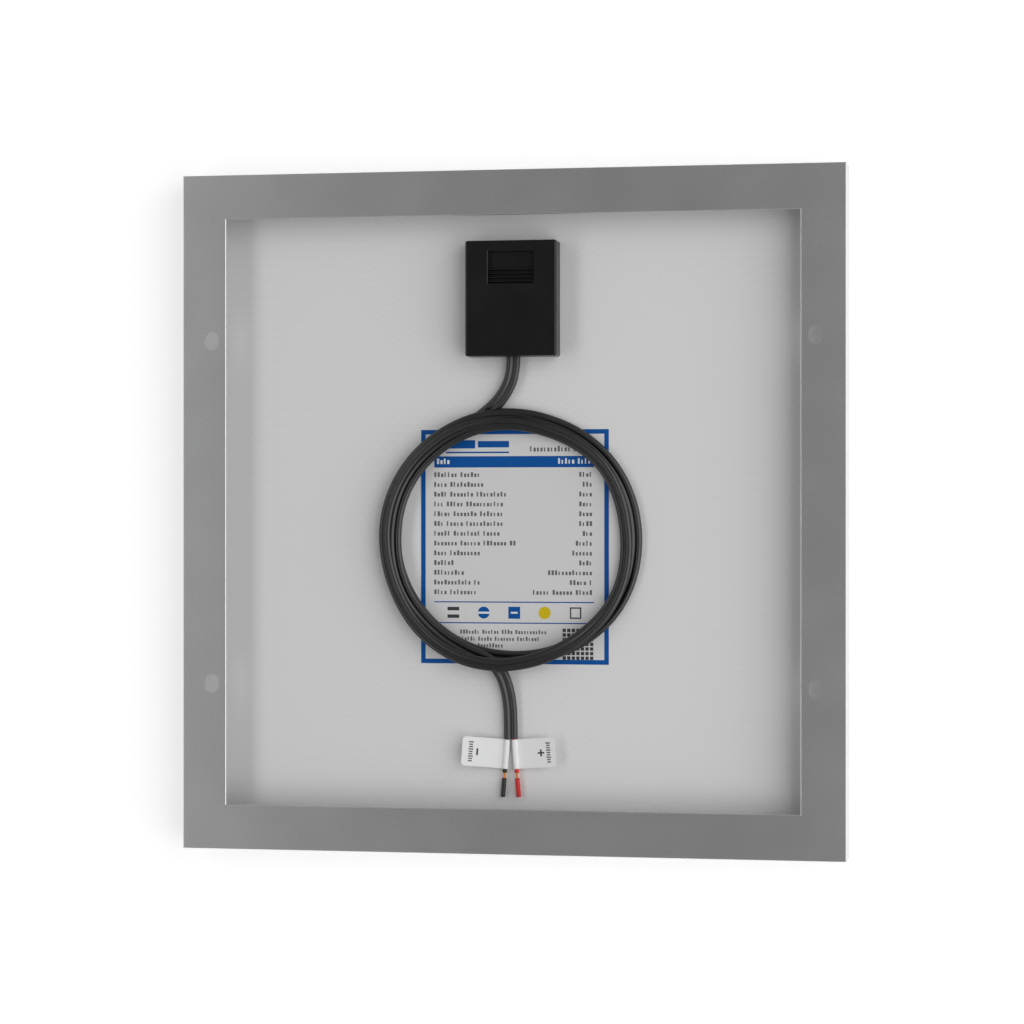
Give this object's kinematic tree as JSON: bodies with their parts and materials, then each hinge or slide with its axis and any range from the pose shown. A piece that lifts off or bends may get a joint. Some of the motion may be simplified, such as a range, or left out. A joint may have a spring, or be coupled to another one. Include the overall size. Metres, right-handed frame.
{
  "type": "solar panel",
  "caption": "Small framed solar panel lying glass down: slotted aluminium rear flange, white backsheet, black junction box and a loosely coiled flat twin lead with stripped, tagged ends.",
  "frame": {"origin": "middle of the front lips' plane, which the panel lies on glass side down", "axes": "+Z from the glass towards the rear, +Y along the longer side towards the junction box, +X completes the frame"},
  "size_m": [0.29, 0.295, 0.02],
  "materials": {
    "anodised_aluminium": "bead-blasted, clear anodised",
    "cast_aluminium": "as cast",
    "edge_sealant": "cured silicone",
    "tempered_glass": "low-iron, lightly textured",
    "clear_encapsulant": "clear cured film",
    "silicon_cell": "dark blue antireflective coat with fine silver fingers",
    "tinned_ribbon": "tinned copper",
    "white_backsheet": "off-white film with a faint embossed dot grid",
    "black_box_plastic": "fine moulded texture",
    "black_rubber": "matt",
    "tinned_brass": "tinned",
    "zinc_plated_steel": "zinc plated",
    "diode_body": "moulded epoxy",
    "black_cable_jacket": "satin PVC",
    "black_core": "satin PVC",
    "red_core": "satin PVC",
    "bare_copper": "bright stranded copper",
    "white_tag": "paper flag label",
    "label_film": "printed film, white with a blue border"
  },
  "bodies": {
    "panel": {"backsheet": "white_backsheet", "bus_ribbons": "tinned_ribbon", "bypass_diode": "diode_body", "cable_clamp": "black_box_plastic", "cable_clamp_screws": "zinc_plated_steel", "cable_coil": "black_cable_jacket", "cable_lead_in": "black_cable_jacket", "cable_seal": "black_rubber", "cable_tail": "black_cable_jacket", "cell_ribbons": "tinned_ribbon", "cell_string_1": "silicon_cell", "cell_string_2": "silicon_cell", "cell_string_3": "silicon_cell", "cell_string_4": "silicon_cell", "core_negative": "black_core", "core_positive": "red_core", "corner_key_bottom_left": "cast_aluminium", "corner_key_bottom_right": "cast_aluminium", "corner_key_top_left": "cast_aluminium", "corner_key_top_right": "cast_aluminium", "edge_seal": "edge_sealant", "frame_rail_bottom": "anodised_aluminium", "frame_rail_left": "anodised_aluminium", "frame_rail_right": "anodised_aluminium", "frame_rail_top": "anodised_aluminium", "front_encapsulant": "clear_encapsulant", "front_glass": "tempered_glass", "inlet_cable": "black_cable_jacket", "inlet_core_negative": "black_core", "inlet_core_positive": "red_core", "inlet_wire_negative": "bare_copper", "inlet_wire_positive": "bare_copper", "jbox_adhesive": "edge_sealant", "jbox_base": "black_box_plastic", "lead_ribbon_negative": "tinned_ribbon", "lead_ribbon_positive": "tinned_ribbon", "rating_label": "label_film", "rear_encapsulant": "clear_encapsulant", "tag_negative": "white_tag", "tag_positive": "white_tag", "terminal_negative": "tinned_brass", "terminal_positive": "tinned_brass", "terminal_screws": "zinc_plated_steel", "wire_negative": "bare_copper", "wire_positive": "bare_copper"},
    "lid": {"jbox_lid": "black_box_plastic", "jbox_lid_seal": "black_rubber"},
    "slug_negative": {"slug_negative": "black_core"},
    "slug_positive": {"slug_positive": "red_core"}
  },
  "joints": [
    {"name": "lid_lift", "type": "slide", "parent": "panel", "child": "lid", "axis": [0, 0, 1], "range_m": [0, 0.03]},
    {"name": "slug_negative_pull", "type": "slide", "parent": "panel", "child": "slug_negative", "axis": [-0.0767, -0.9971, 0], "range_m": [0, 0.012]},
    {"name": "slug_positive_pull", "type": "slide", "parent": "panel", "child": "slug_positive", "axis": [0.0767, -0.9971, 0], "range_m": [0, 0.012]}
  ]
}
